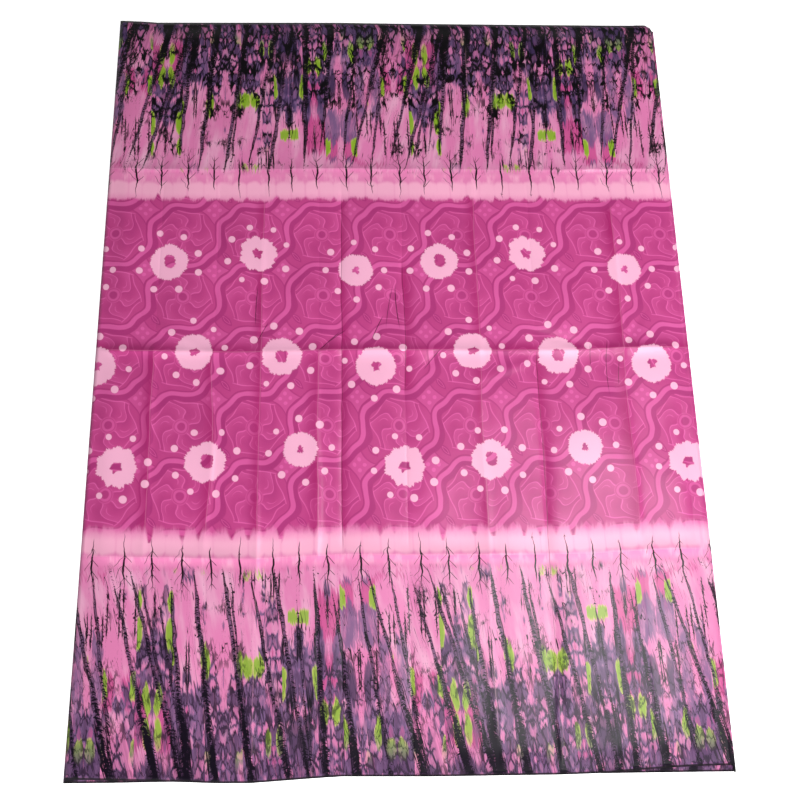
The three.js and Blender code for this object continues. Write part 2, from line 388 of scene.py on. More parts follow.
class Draft:
    # makes the nodes of one material
    def __init__(self, name):
        self.material = bpy.data.materials.new(name)
        self.material.use_nodes = True
        self.tree = self.material.node_tree
        self.shader = self.tree.nodes["Principled BSDF"]

    def add(self, kind, **settings):
        node = self.tree.nodes.new(kind)
        for key, value in settings.items():
            setattr(node, key, value)
        return node

    def join(self, value, socket):
        if isinstance(value, Thread):
            value = value.socket
        if isinstance(value, bpy.types.NodeSocket):
            self.tree.links.new(value, socket)
        else:
            socket.default_value = value

    def calc(self, operation, *values):
        node = self.add("ShaderNodeMath", operation=operation)
        for value, socket in zip(values, node.inputs):
            self.join(value, socket)
        return Thread(self, node.outputs[0])

    def size(self, value):
        return self.calc("ABSOLUTE", value)

    def least(self, *values):
        best = values[0]
        for value in values[1:]:
            best = self.calc("MINIMUM", best, value)
        return best

    def most(self, *values):
        best = values[0]
        for value in values[1:]:
            best = self.calc("MAXIMUM", best, value)
        return best

    def ease(self, value, low, high):  # 0 at low, 1 at high, soft between
        node = self.add("ShaderNodeMapRange", interpolation_type="SMOOTHSTEP")
        for socket, number in zip(node.inputs[:5], (value, low, high, 0.0, 1.0)):
            self.join(number, socket)
        return Thread(self, node.outputs[0])

    def over(self, value, limit, soft):  # 1 above the limit
        return self.ease(value, limit - soft, limit + soft)

    def under(self, value, limit, soft):  # 1 below the limit
        return self.ease(value, limit + soft, limit - soft)

    def line(self, value, width, soft=0.4):  # 1 within half the width of zero
        return self.under(self.size(value), width / 2, soft)

    def length(self, x, y):
        return self.calc("SQRT", x * x + y * y)

    def point(self, x, y, z=0.0):
        node = self.add("ShaderNodeCombineXYZ")
        for value, socket in zip((x, y, z), node.inputs):
            self.join(value, socket)
        return node.outputs[0]

    def noise(self, x, y, z=0.0, detail=2.0, rough=0.5):  # about -0.5 to 0.5
        node = self.add("ShaderNodeTexNoise")
        self.join(self.point(x, y, z), node.inputs["Vector"])
        setSockets(node, {"Scale": 1.0, "Detail": detail, "Roughness": rough})
        return Thread(self, node.outputs[0]) - 0.5

    def split(self, colour):
        parts = self.add("ShaderNodeSeparateColor")
        self.join(colour, parts.inputs[0])
        return [Thread(self, output) for output in parts.outputs]

    def lot(self, x, y, z=0.0):  # three chances from 0 to 1 that belong to a cell
        node = self.add("ShaderNodeTexWhiteNoise", noise_dimensions="3D")
        self.join(self.point(x, y, z), node.inputs["Vector"])
        return self.split(node.outputs["Color"])

    def cells(self, x, y, z=0.0):  # how far the nearest border between cells is, and the cell's own chance
        found = []
        for feature, output in (("DISTANCE_TO_EDGE", "Distance"), ("F1", "Color")):
            node = self.add("ShaderNodeTexVoronoi", feature=feature)
            node.inputs["Scale"].default_value = 1.0
            self.join(self.point(x, y, z), node.inputs["Vector"])
            found.append(node.outputs[output])
        return Thread(self, found[0]), self.split(found[1])[0]

    def table(self, place, rows, stepped=False):
        # one to three columns from 0 to 1, looked up by the first, which goes from 0 to 1
        node = self.add("ShaderNodeValToRGB")
        ramp = node.color_ramp
        ramp.interpolation = "CONSTANT" if stepped else "LINEAR"
        while len(ramp.elements) < len(rows):
            ramp.elements.new(0.5)
        columns = len(rows[0]) - 1
        for element, row in zip(ramp.elements, rows):
            element.position = row[0]
            element.color = (*row[1:], *[0.0] * (3 - columns), 1.0)
        self.join(place, node.inputs[0])
        return self.split(node.outputs["Color"])[:columns]

    def dye(self, base, colour, share):
        node = self.add("ShaderNodeMix", data_type="RGBA")
        self.join(share, node.inputs[0])
        self.join(base, node.inputs[6])
        self.join(colour, node.inputs[7])
        return node.outputs[2]


dyes = {
    "magenta": tint("#ab3c76"),
    "magentaLight": tint("#cb5997"),
    "magentaDark": tint("#8a2460"),
    # the next colour is painted shade for the bands beside the creases
    "paintedShade": tint("#98215f"),
    "resist": tint("#dda0bb"),
    "bandPale": tint("#de9cb7"),
    "bandPink": tint("#cf76a2"),
    "borderPink": tint("#c56e9b"),
    "borderPale": tint("#d09bb4"),
    "hotPink": tint("#b03c78"),
    "purple": tint("#3d2b4e"),
    "lilac": tint("#5f4970"),
    "purpleDark": tint("#2c2040"),
    "lime": tint("#789a1f"),
    "limePale": tint("#a9b04c"),
    # the next colour is painted shade for the dark hairlines in the creases and wrinkles
    "black": tint("#030104"),
    "wine": tint("#2e031a"),
    "core": tint("#5a3c5c"),
}

printRepeat = 420.0  # in millimetres, like all that follows
printSlant = 0.03    # how far the print leans against the folds
printMiddle = -2.0   # where the field's middle is, along the width
# Each flower of one repeat, with its eye's size, the turn of its dots and how lobed it is
flowers = named(
    "across along size eye turn lobes",
    (-342, 152, 29.0, 10.0, 21, 1.2),
    (-204, 166, 28.5, 7.5, 16, 2.2),
    (-53, 137, 26.0, 5.5, 4, 0.8),
    (-28, -17, 29.5, 7.0, 38, 1.0),
    (-300, 7, 28.0, 6.5, 6, 1.0),
    (-170, 0, 29.5, 9.0, 13, 1.6),
    (-412, -168, 29.0, 8.5, 12, 2.2),
    (-284, -159, 29.0, 9.5, 22, 2.2),
    (-144, -142, 25.5, 5.0, 3, 0.8),
)
flowerRing = {
    "petal": 9.0,       # how far the lobes and the fringe stray
    "fringe": 11.0,
    "eyeLobe": 13.0,
    "eyeFringe": 6.0,
    "dots": 8,
    "dotReach": 36.5,
    "dotRadius": 4.2,
}


def nearestFlower(draft, across, along):
    # the way to the nearest flower's centre, and that flower's own numbers
    best = None
    for flower in flowers:
        offX = draft.calc("WRAP", across - flower["across"], printRepeat / 2, -printRepeat / 2)
        offY = along - flower["along"]
        far = offX * offX + offY * offY
        own = [offX, offY, flower["size"], flower["eye"], math.radians(flower["turn"]), flower["lobes"]]
        if best is None:
            best = [far] + own
            continue
        closer = draft.calc("LESS_THAN", far, best[0])
        kept = [draft.calc("MINIMUM", far, best[0])]
        for old, new in zip(best[1:], own):
            kept.append(draft.calc("MULTIPLY_ADD", new - old, closer, old))
        best = kept
    return best[1:]


def resistFlowers(draft, across, along):
    # ragged pale rings with a dark eye, each inside a ring of eight dots
    offX, offY, size, eye, turn, lobes = nearestFlower(draft, across, along)
    far = draft.length(offX, offY)
    angle = draft.calc("ARCTAN2", offY, offX)
    roundX = draft.calc("COSINE", angle)
    roundY = draft.calc("SINE", angle)
    seed = size * 3.7 + turn * 9.0
    petals = draft.noise(roundX * 2.2, roundY * 2.2, seed, 2.0, 0.6)
    fringe = draft.noise(roundX * 15.0, roundY * 15.0, seed, 3.0, 0.9) * flowerRing["fringe"]
    ring = draft.under(far - size - petals * lobes * flowerRing["petal"] - fringe, 0.0, 0.7)
    eyeLobe = draft.noise(roundX * 1.2, roundY * 1.2, seed + 4.0, 1.0) * flowerRing["eyeLobe"]
    eyeFringe = draft.noise(roundX * 6.0, roundY * 6.0, seed + 6.0, 3.0, 0.9) * flowerRing["eyeFringe"]
    ring = ring * draft.over(far - eye - eyeLobe - eyeFringe, 0.0, 0.8)
    pitch = 2 * math.pi / flowerRing["dots"]
    number = draft.calc("ROUND", (angle - turn) / pitch)
    chance = draft.lot(draft.calc("FLOORED_MODULO", number, flowerRing["dots"]), seed, 0.0)
    middle = number * pitch + turn + (chance[0] - 0.5) * 0.16
    reach = size * 0.3 + flowerRing["dotReach"] + chance[1] * 5.0
    dotX = offX - draft.calc("COSINE", middle) * reach
    dotY = offY - draft.calc("SINE", middle) * reach
    dots = draft.under(draft.length(dotX, dotY) - chance[2] * 1.7, flowerRing["dotRadius"], 0.6)
    return draft.most(ring, dots)


damask = {
    "pitchAcross": 107.3,
    "pitchAlong": 101.6,
    "startAcross": 3.0,
    "startAlong": -6.0,
    "sway": 0.24,         # of the ribbons, in pitches
    "ribbon": 7.0,
    "frame": 38.5,        # of the rosettes
    "arms": 6,
    "stretch": 73.7,      # millimetres from one ribbon to the next
    "diamond": 24.0,
    "drift": 6.0,
}


def damaskTone(draft, across, along):
    # tone on tone: swaying ribbons, swirls in six-sided frames, spotted diamonds and small leaves
    pitchX, pitchY, sway = damask["pitchAcross"], damask["pitchAlong"], damask["sway"]
    driftX = draft.noise(across * 0.03, along * 0.03, 3.0, 1.0)
    driftY = draft.noise(across * 0.03, along * 0.03, 9.0, 1.0)
    cellX = (across - damask["startAcross"] + driftX * damask["drift"]) / pitchX
    cellY = (along - damask["startAlong"] + driftY * damask["drift"]) / pitchY
    rising = cellX + cellY
    falling = cellX - cellY
    index = draft.calc("FLOOR", falling)
    phase = (rising - index) * math.pi
    wave = draft.calc("COSINE", phase) - draft.calc("COSINE", phase * 3.0) * 0.2
    middle = index + 0.5 + wave * sway
    slope = (draft.calc("SINE", phase) - draft.calc("SINE", phase * 3.0) * 0.6) * (sway * math.pi)
    steep = draft.calc("SQRT", slope * slope + 1.0)
    off = (falling - middle) * damask["stretch"] / steep
    ribbon = draft.line(off, damask["ribbon"], 0.7)
    shade = draft.over(off, 3.7, 0.7) * draft.under(off, 11.5, 0.8)
    rim = draft.line(off + 5.0, 2.0, 0.6)
    clear = 1.0 - draft.most(ribbon, shade, rim)

    roseX = (cellX - draft.calc("ROUND", cellX)) * pitchX
    roseY = (cellY - draft.calc("ROUND", cellY)) * pitchY
    far = draft.length(roseX, roseY)
    angle = draft.calc("ARCTAN2", roseY, roseX)
    arm = 2 * math.pi / damask["arms"]
    side = draft.calc("WRAP", angle - 0.3, arm / 2, -arm / 2)
    frameOff = far * draft.calc("COSINE", side) - damask["frame"]
    frameOff = frameOff + draft.calc("SINE", side * 5.0) * 1.6
    inside = draft.under(frameOff, 0.0, 0.6)
    frameLine = draft.line(frameOff, 1.6, 0.6)
    ring = draft.line(far - 8.0, 3.6, 0.6)
    halo = draft.line(far - 12.0, 1.4, 0.6)
    bend = draft.calc("SINE", draft.ease(far, 12.0, 40.0) * math.pi) * 0.28
    swirl = draft.calc("FRACT", angle / arm - far * 0.022 + bend + 3.0)
    toEdge = draft.calc("PINGPONG", swirl, 0.5) * far * arm
    beyondRing = draft.over(far, 13.0, 0.8)
    armLine = draft.under(toEdge, 0.9, 0.6) * beyondRing
    vein = draft.line((swirl - 0.36) * far * arm, 1.4, 0.6)
    vein = vein * draft.over(far, 19.0, 2.0) * draft.under(far, 31.0, 2.0)
    petal = (swirl - 0.5) * beyondRing

    cornerX = (draft.calc("FRACT", cellX) - 0.5) * pitchX
    cornerY = (draft.calc("FRACT", cellY) - 0.5) * pitchY
    starX = draft.size(cornerX + 7.0)
    starY = draft.size(cornerY + 8.0)
    reach = damask["diamond"]
    star = draft.calc("POWER", starX / reach, 0.75) + draft.calc("POWER", starY / reach, 0.75)
    diamond = draft.under(star, 1.0, 0.03)
    starRim = draft.line(star - 1.06, 0.11, 0.03)
    spots = draft.least(draft.length(starX, starY - 7.8), draft.length(starX - 7.8, starY))
    spotMark = draft.under(spots, 3.0, 0.6)
    leafX = cornerX - 12.0
    leafY = cornerY - 14.0
    leafUp = leafX * 0.64 - leafY * 0.77
    leafOver = leafX * 0.77 + leafY * 0.64
    leafOff = draft.size(leafOver) / 4.6 + leafUp * leafUp / 150.0
    leaf = draft.under(leafOff, 1.0, 0.08)
    leafHeart = draft.line(leafOff - 0.45, 0.2, 0.06)

    outer = diamond * 0.36 - starRim * 0.4 + spotMark * 0.5 - leaf * 0.5 + leafHeart * 1.0
    inner = (petal * -0.5 + armLine * 0.8 + vein * 0.6 + ring * 0.55 + halo * 0.4
             - draft.under(far, 6.4, 0.5) * 0.35)
    body = outer + inside * (inner - outer) + frameLine * 0.8
    return ribbon * 0.66 - shade * 0.5 - rim * 0.5 + clear * body * 0.95


def creaseSpan(draft, crease, along):
    return draft.over(along, crease["from"] + 8.0, 12.0) * draft.under(along, crease["to"] - 8.0, 12.0)


def paintedCreaseShade(draft, across, along):
    # painted shade: a soft darker band along one side of each crease, unevenly
    straight = across - along * printSlant
    stray = draft.noise(straight * 0.02, along * 0.02, 2.0, 1.0) * 5.0
    uneven = draft.noise(straight * 0.012, along * 0.012, 5.0, 2.0) * 1.6 + 0.9
    bands = []
    for crease in [middleCrease] + lengthCreases:
        crosswise = crease is middleCrease
        off = (along - crease["along"] if crosswise else straight - crease["across"]) + stray
        before, beyond = crease["reach"]
        before, beyond = (2.0, beyond) if beyond > before else (before, 2.0)
        shadeBand = draft.ease(off, -before, 0.0) * draft.ease(off, beyond, 0.0)
        bands.append(shadeBand if crosswise else shadeBand * creaseSpan(draft, crease, along))
    return draft.most(*bands) * uneven * 0.75


def magentaField(draft, across, along):
    tone = damaskTone(draft, across, along)
    mottle = draft.noise(across * 0.012, along * 0.012, 1.0, 3.0)
    tone = tone + mottle * 0.7
    light = draft.dye(dyes["magenta"], dyes["magentaLight"], draft.calc("MAXIMUM", tone, 0.0))
    colour = draft.dye(light, dyes["magentaDark"], draft.calc("MAXIMUM", tone * -1.0, 0.0))
    # painted shade in a band beside the creases, under the pale flowers
    colour = draft.dye(colour, dyes["paintedShade"], paintedCreaseShade(draft, across, along))
    return draft.dye(colour, dyes["resist"], resistFlowers(draft, across, along))


band = {
    "fieldSide": 259.0,
    "lobe": 23.333,
    "middleSide": 274.0,  # where the two prints meet
    "outerSide": 289.0,
    "borderFrom": 306.0,
}


def scallopedBand(draft, across, along, side, field, border):
    # pale lobes between the field and the border, with the field's colour running in between them
    ripple = draft.noise(across * 0.05, side * 0.02, 4.0, 2.0)
    drift = draft.noise(across * 0.022, 1.0, 6.0, 1.0) * 22.0
    fray = draft.noise(across * 0.3, side * 0.05, 2.0, 3.0, 0.75)
    gap = band["lobe"] / 2
    lobe = draft.calc("PINGPONG", across + drift, gap)
    number = draft.calc("ROUND", (across + drift - gap) / band["lobe"])
    chance = draft.lot(draft.calc("FLOORED_MODULO", number, 18.0), 3.0)
    cusp = draft.ease(lobe, 5.0, gap) * (chance[0] * chance[0] * 8.0 + 1.0)
    lower = draft.under(along, 0.0, 20.0)  # the dye ran further there
    softer = lower * 1.3 + 1.0
    run = cusp * softer - lower * 5.0
    pastField = side - band["fieldSide"] - run - ripple * 16.0 - fray * 15.0
    toBand = draft.ease(pastField / softer, -3.2, 3.2)
    joint = draft.over(lobe + ripple * 3.0, gap - 1.0, 1.6) * (chance[1] * 0.4 + 0.04)
    glow = draft.ease(side + fray * 8.0, band["fieldSide"] - 6.0, band["fieldSide"] + 14.0)
    pale = draft.dye(dyes["bandPink"], dyes["bandPale"], glow)
    pale = draft.dye(pale, dyes["bandPink"], joint)
    bulge = draft.calc("POWER", lobe / gap, 3.0) * -4.0
    toStrip = draft.ease(side - band["outerSide"] - bulge + ripple * 12.0, -3.0, 5.0)
    strip = draft.dye(dyes["bandPink"], dyes["bandPale"], draft.ease(ripple + fray * 0.4, -0.05, 0.25))
    colour = draft.dye(pale, strip, toStrip)
    toBorder = draft.over(side + fray * 6.0 + ripple * 10.0, band["borderFrom"], 6.0)
    colour = draft.dye(colour, border, toBorder) if border is not None else colour
    return draft.dye(field, colour, toBand) if field is not None else colour


# Mirrored strips of the border in one repeat: where each starts
borderStrips = [0, 44, 92, 138, 190, 220, 244, 292, 326, 376]
# How the border changes over one repeat: its lean outward, and the share of its depth where the washes start
borderRhythm = named(
    "across lean washFrom",
    (0, 0.26, 0.50), (40, 0.25, 0.30), (80, 0.14, 0.15), (120, 0.12, 0.35),
    (160, 0.13, 0.45), (200, 0.16, 0.12), (240, 0.10, 0.20), (280, 0.06, 0.15),
    (310, 0.10, 0.28), (350, 0.18, 0.50), (390, 0.24, 0.60), (420, 0.26, 0.50),
)
# Thorny stems in one repeat: across is at the crease, from is where each starts, spread is at the selvedge
borderStems = named(
    "across lean from width spread",
    (4, 0.25, 8, 1.5, 6),
    (30, 0.28, -4, 1.9, 3),
    (41, 0.25, 6, 1.0, 2),
    (64, 0.19, 22, 0.9, 2),
    (87, 0.10, 10, 1.6, 8),
    (120, 0.12, -6, 2.2, 4),
    (163, 0.14, -10, 2.2, 3),
    (172, 0.10, 2, 1.0, 3),
    (199, 0.19, 2, 1.3, 4),
    (233, 0.16, -12, 2.2, 1),
    (262, 0.07, 36, 1.0, 1),
    (290, 0.04, 2, 2.4, 3),
    (313, 0.11, 26, 1.4, 5),
    (349, 0.14, 4, 1.2, 1),
    (363, 0.25, -2, 1.4, 6),
    (397, 0.14, -6, 1.2, 2),
)
borderPlace = {
    "crease": 302.0,  # where it starts
    "depth": 285.0,   # from there to the selvedge
}
# Brush marks that fill some cells of a grid inside each strip: cell, share of the cells, half sizes, fullness
borderMarks = {
    "hot": {"seed": 9.0, "cell": (34.0, 84.0), "share": 0.19, "half": (19.0, 42.0), "bulge": 3.0},
    "veil": {"seed": 27.0, "cell": (26.0, 96.0), "share": 0.34, "half": (11.0, 38.0), "bulge": 3.0},
    "night": {"seed": 41.0, "cell": (20.0, 70.0), "share": 0.14, "half": (8.0, 24.0), "bulge": 2.6},
    "lime": {"seed": 7.0, "cell": (15.5, 44.0), "share": 0.21, "half": (8.0, 19.0), "bulge": 2.0},
    "soot": {"seed": 63.0, "cell": (24.0, 110.0), "share": 0.34, "half": (9.0, 52.0), "bulge": 2.4},
}


def stemDistance(draft, across, out):
    # how far the nearest stem's edge is, negative inside it
    wobble = draft.noise(across * 0.025, out * 0.02, 8.0, 2.0) * 9.0
    swayed = across + wobble
    spreading = draft.ease(out, 90.0, 290.0)
    edges = []
    for stem in borderStems:
        off = draft.calc("MULTIPLY_ADD", out, -stem["lean"], swayed) - stem["across"]
        off = draft.calc("PINGPONG", off, printRepeat / 2)
        growth = draft.ease(out, stem["from"] - 34.0, stem["from"] + 70.0) * (stem["width"] + 3.0)
        edges.append(off - draft.calc("MULTIPLY_ADD", spreading, stem["spread"] * 0.8, growth))
    return draft.least(*edges) + 2.2


def brushMark(draft, kind, mirror, out, seed):
    # how deep inside such a mark a place is: 0 at the edge, 1 in the middle, negative outside
    mark = borderMarks[kind]
    wide, tall = mark["cell"]
    placeX = mirror / wide
    column = draft.calc("FLOOR", placeX)
    shift = draft.lot(column, seed, mark["seed"])
    placeY = out / tall + shift[0] * 5.0
    chance = draft.lot(column + mark["seed"], draft.calc("FLOOR", placeY), seed)
    halfX = (chance[0] + 0.7) * (mark["half"][0] / wide / 1.2)
    halfY = (chance[1] + 0.5) * (mark["half"][1] / tall)
    x = draft.size(draft.calc("FRACT", placeX) - 0.5) / halfX
    y = draft.size(draft.calc("FRACT", placeY) - 0.5) / halfY
    depth = 1.0 - draft.calc("POWER", x, mark["bulge"]) - draft.calc("POWER", y, mark["bulge"])
    return depth - draft.calc("GREATER_THAN", chance[2], mark["share"]) * 9.0


def streakyBorder(draft, across, along, side):
    # out is the distance from the packet crease towards the selvedge
    out = side - borderPlace["crease"]
    depth = out / borderPlace["depth"]
    # the lower border is drawn paler, with fewer and lighter blacks and more purple: partly painted sheen
    lower = draft.under(along, 0.0, 20.0)  # that border has more purple and less black, and is paler
    turn = draft.calc("FLOORED_MODULO", across - 0.13 * out, printRepeat) / printRepeat
    lean, washFrom = draft.table(turn, [
        (row["across"] / printRepeat, row["lean"], row["washFrom"]) for row in borderRhythm])
    straight = across - lean * out

    place = draft.calc("FLOORED_MODULO", across, printRepeat) / printRepeat
    ends = borderStrips[1:] + [printRepeat]
    strips = [(start / printRepeat, (start + end) / 2 / printRepeat, i / 16, (end - start) / 2 / printRepeat)
              for i, (start, end) in enumerate(zip(borderStrips, ends))]
    middle, number, half = draft.table(place, strips, True)
    mirror = draft.size(place - middle) * printRepeat
    seed = draft.calc("ROUND", number * 16.0) * 5.3
    toAxis = draft.least(mirror, half * printRepeat - mirror)

    comb = draft.noise(straight * 0.42, out * 0.015, 3.0, 2.0, 0.6)
    fine = draft.noise(straight * 1.1, out * 0.05, 1.0, 1.0)
    hair = draft.noise(straight * 0.5, out * 0.014, 6.0, 3.0, 0.6)
    ragged = out + comb * 50.0 + fine * 16.0
    loose = mirror + draft.noise(mirror * 0.05, out * 0.03, seed + 3.0, 2.0) * 9.0
    blots = draft.noise(mirror * 0.10, ragged * 0.04, seed + 2.0, 4.0, 0.65)
    cellX = loose * 0.12 + blots * 1.5
    cellY = out * 0.064 + comb * 0.8 + blots * 1.7
    crack, cellChance = draft.cells(cellX, cellY, seed)

    silk = draft.noise(straight * 0.05, out * 0.012, 5.0, 3.0, 0.6)
    base = draft.dye(dyes["borderPink"], dyes["borderPale"], draft.ease(silk - depth * 0.12, -0.16, 0.3))
    base = draft.dye(base, dyes["hotPink"], draft.under(out + comb * 26.0 + fine * 6.0, 9.0, 4.0) * 0.3)
    hot = draft.ease(brushMark(draft, "hot", loose, ragged, seed), -0.1, 0.5)
    base = draft.dye(base, dyes["hotPink"], hot * draft.ease(ragged, 10.0, 22.0) * 0.85)

    veil = brushMark(draft, "veil", loose, ragged, seed)
    veiled = draft.ease(veil + blots * 0.9, 0.0, 0.35) * draft.ease(ragged, 16.0, 24.0)
    base = draft.dye(base, dyes["lilac"], veiled * draft.ease(blots, -0.3, 0.1) * 0.9)

    wash = draft.noise(mirror * 0.045, ragged * 0.013, seed + 6.0, 2.0, 0.5)
    start = draft.ease(ragged / borderPlace["depth"], washFrom - 0.05, washFrom + 0.35)
    washed = draft.over(wash + start * 0.22 + lower * 0.035, 0.14, 0.03)
    mottle = draft.ease(crack, 0.08, 0.22) * draft.over(cellChance, 0.40, 0.12)
    slits = draft.over(hair - fine * 0.3, 0.13, 0.05) * draft.ease(depth, 0.5, 0.9)
    wear = draft.most(mottle, slits)
    violet = draft.dye(dyes["lilac"], dyes["purple"], draft.ease(blots - cellChance * 0.2, -0.24, 0.02))
    violet = draft.dye(violet, dyes["purpleDark"], draft.ease(blots - crack * 0.5, 0.02, 0.16) * 0.85)
    base = draft.dye(base, violet, washed * (1.0 - wear * 0.9) * 0.95)
    night = brushMark(draft, "night", loose, ragged, seed)
    darkened = draft.ease(night + blots, 0.0, 0.2) * draft.ease(depth, 0.3, 0.6)
    base = draft.dye(base, dyes["purpleDark"], darkened * 0.85)

    lime = brushMark(draft, "lime", loose, out + comb * 22.0 + fine * 10.0, seed)
    green = draft.dye(dyes["limePale"], dyes["lime"], draft.ease(lime + blots * 0.8, 0.1, 0.6))
    greened = draft.over(lime, 0.12, 0.2) * draft.ease(ragged, 6.0, 16.0) * draft.under(depth, 0.86, 0.1)
    base = draft.dye(base, green, greened * 0.95)

    axisChance = draft.lot(seed, 4.0, 1.0)
    axisFrom = axisChance[0] * 0.45
    axisTo = axisFrom + 0.1 + axisChance[1] * 0.3
    taper = draft.ease(depth, axisFrom, axisFrom + 0.07) * draft.ease(depth, axisTo, axisTo - 0.08)
    axisThorn = draft.noise(toAxis * 0.11, out * 0.2 - toAxis * 0.24 + blots * 2.6, seed + 17.0, 1.0)
    thornReach = draft.noise(out * 0.12, seed, 5.0, 1.0) * 15.0 + 3.0
    axisOff = draft.size(toAxis + comb * 4.0 - axisChance[2] * 3.0)
    thorns = draft.line(axisThorn, 0.044, 0.015) * draft.under(axisOff - thornReach * taper, 0.0, 1.0)
    axisMark = draft.most(thorns, draft.under(axisOff - taper * (fine * 3.0 + 1.2), -0.2, 0.4))

    near = stemDistance(draft, across, out)
    bare = draft.noise(across * 0.03, out * 0.03, 14.0, 1.0)
    busy = draft.ease(wash + bare * 0.9 + draft.ease(depth, 0.0, 0.9) * 0.32, 0.05, 0.26)
    busy = busy * (1.0 - lower * 0.3)
    net = draft.under(crack - busy * draft.ease(blots, -0.14, 0.26) * 0.3, 0.018, 0.02) * busy
    thorn = draft.noise(across * 0.16, out * 0.42 - near * 0.2, 4.0, 1.0)
    rough = near - fine * 3.0 - hair * draft.ease(depth, 0.2, 0.9) * 30.0
    spikes = draft.over(thorn - near * 0.05 + bare * 0.3, 0.12, 0.03) * draft.under(near, 4.5, 1.5)
    outline = draft.under(rough, 0.0, 0.5)
    bundle = fine * 0.5 + silk * 0.4 + blots * 0.5 - draft.ease(depth, 0.4, 1.0) * 0.16
    heart = draft.under(rough, -1.2, 0.4) * draft.over(bundle, -0.10, 0.05)
    fringe = hair + fine * 0.2 + draft.ease(near, 20.0, 0.0) * draft.ease(depth, 0.1, 1.0) * 0.14
    fringe = draft.over(fringe, 0.235, 0.015) * draft.over(bare + depth * 0.12, 0.02, 0.06)
    strand = draft.noise(straight * 0.075, out * 0.006, 17.0, 2.0)
    wisps = draft.under(draft.calc("PINGPONG", strand * 9.0, 0.5), 0.04, 0.02) * draft.under(depth, 0.6, 0.1)
    wisps = wisps * draft.over(bare + comb * 0.3 + draft.ease(depth, 0.0, 0.7) * 0.14, 0.06, 0.02)
    sliver = draft.over(fine + blots * 0.7 + hair * 0.3, 0.10, 0.04) * draft.ease(depth, 0.35, 0.7)
    soot = brushMark(draft, "soot", loose, ragged, seed) + hair * 6.0 + blots * 2.0
    sooty = draft.over(soot + draft.ease(depth, 0.55, 1.05) * 0.8 - 0.8, 0.0, 0.08)
    sooty = sooty * draft.ease(ragged, 140.0, 180.0)
    started = draft.ease(depth, -0.06, 0.0)
    outline = outline * (1.0 - heart) * (1.0 - sliver)
    black = draft.most(net, axisMark, sooty, fringe, wisps, outline, spikes) * started
    dusk = draft.ease(depth + hair * 0.8 + blots * 0.3, 0.66, 1.06) * 0.5
    base = draft.dye(base, dyes["purpleDark"], dusk * draft.under(lime, 0.0, 0.1))
    # partly painted sheen: the lower border paler
    base = draft.dye(base, dyes["bandPale"], lower * 0.05)
    colour = draft.dye(base, dyes["core"], heart * started * draft.under(sliver, 0.5, 0.5) * 0.9)
    # partly painted sheen: lighter blacks in the lower border
    ink = draft.dye(dyes["black"], dyes["purple"], lower * 0.07)
    return draft.dye(colour, ink, black)


def twigMarks(draft, across, side):
    # thin black twigs that reach from the border into the pale band, ten in a repeat
    pitch = printRepeat / 10
    number = draft.calc("FLOOR", across / pitch)
    chance = draft.lot(draft.calc("FLOORED_MODULO", number, 10.0), 5.0)
    sway = draft.noise(across * 0.02, side * 0.05, 7.0, 2.0) * 9.0
    off = (draft.calc("FRACT", across / pitch) - 0.5) * pitch - (chance[0] - 0.5) * 10.0 + sway
    offSize = draft.size(off)
    girth = draft.ease(side, 268.0, 306.0) - draft.ease(side, 308.0, 334.0) * 0.9
    stalk = draft.under(offSize - girth * 1.1, 0.3, 0.4)
    spread = draft.ease(side, 276.0, 300.0) * draft.ease(chance[1], 0.1, 0.8) * 11.0
    angled = side - offSize * 1.4 + off * 0.3 + sway * 1.5 + chance[2] * 11.0
    branch = draft.calc("PINGPONG", angled, 8.0)
    branches = draft.under(branch, 0.6, 0.4) * draft.under(offSize - spread - sway, 0.0, 1.0)
    started = draft.over(side - chance[2] * 18.0, 261.0, 3.0)
    return draft.most(stalk, branches) * started * draft.under(side - chance[1] * 14.0, 326.0, 6.0)


def paintedCreaseLight(draft, colour, across, along):
    # painted light along the folds: pale hairlines on the ridged creases are a painted highlight, dark ones
    # in the trough creases are painted shade
    straight = across - along * printSlant
    stray = draft.noise(straight * 0.02, along * 0.02, 2.0, 1.0) * 3.0
    pale = [draft.line(along - crease["along"] + stray * 0.3, 1.0, 0.5) for crease in crossCreases]
    dark = []
    for crease in lengthCreases:
        sway = draft.calc("SINE", along / 47 + crease["across"] / 19) * crease["waver"] * 0.3
        hairline = draft.line(straight - crease["across"] + sway + stray, 0.9, 0.5)
        kind = dark if crease["rise"] < 0 else pale
        kind.append(hairline * creaseSpan(draft, crease, along))
    # painted highlight on the ridged creases, then painted shade in the trough creases
    colour = draft.dye(colour, dyes["bandPale"], draft.most(*pale) * 0.22)
    return draft.dye(colour, dyes["wine"], draft.most(*dark) * 0.6)


def paintedWrinkleShade(draft, across, along):
    # painted shade: dark hairlines in the short wrinkles beside the middle crease
    straight = across - along * printSlant
    marks = []
    for wrinkle in wrinkles:
        if wrinkle["line"] == 0:
            continue
        length, off = alongWrinkle(wrinkle, straight, along)
        fade = draft.under(draft.size(length), wrinkle["half"] * 0.65, wrinkle["half"] * 0.25)
        marks.append(draft.line(off, 1.2, 0.5) * fade * (wrinkle["line"] * 1.6))
    return draft.most(*marks)


def printPlace(draft):
    # the place in the print, in millimetres, and how far out it is from the field's middle
    place = draft.add("ShaderNodeUVMap", uv_map="weave")
    parts = draft.add("ShaderNodeSeparateXYZ")
    draft.join(place.outputs[0], parts.inputs[0])
    along = Thread(draft, parts.outputs[1]) * 1000.0
    across = Thread(draft, parts.outputs[0]) * 1000.0 + along * printSlant
    return across, along, draft.size(along - printMiddle)


polish = {
    "roughness": 0.34,
    "sheen": 0.26,
    "pucker": 0.35,        # how much the small puckers show
    "puckerRise": 0.5,
    "puckerScale": 70.0,
    "puckerDetail": 3.0,
}


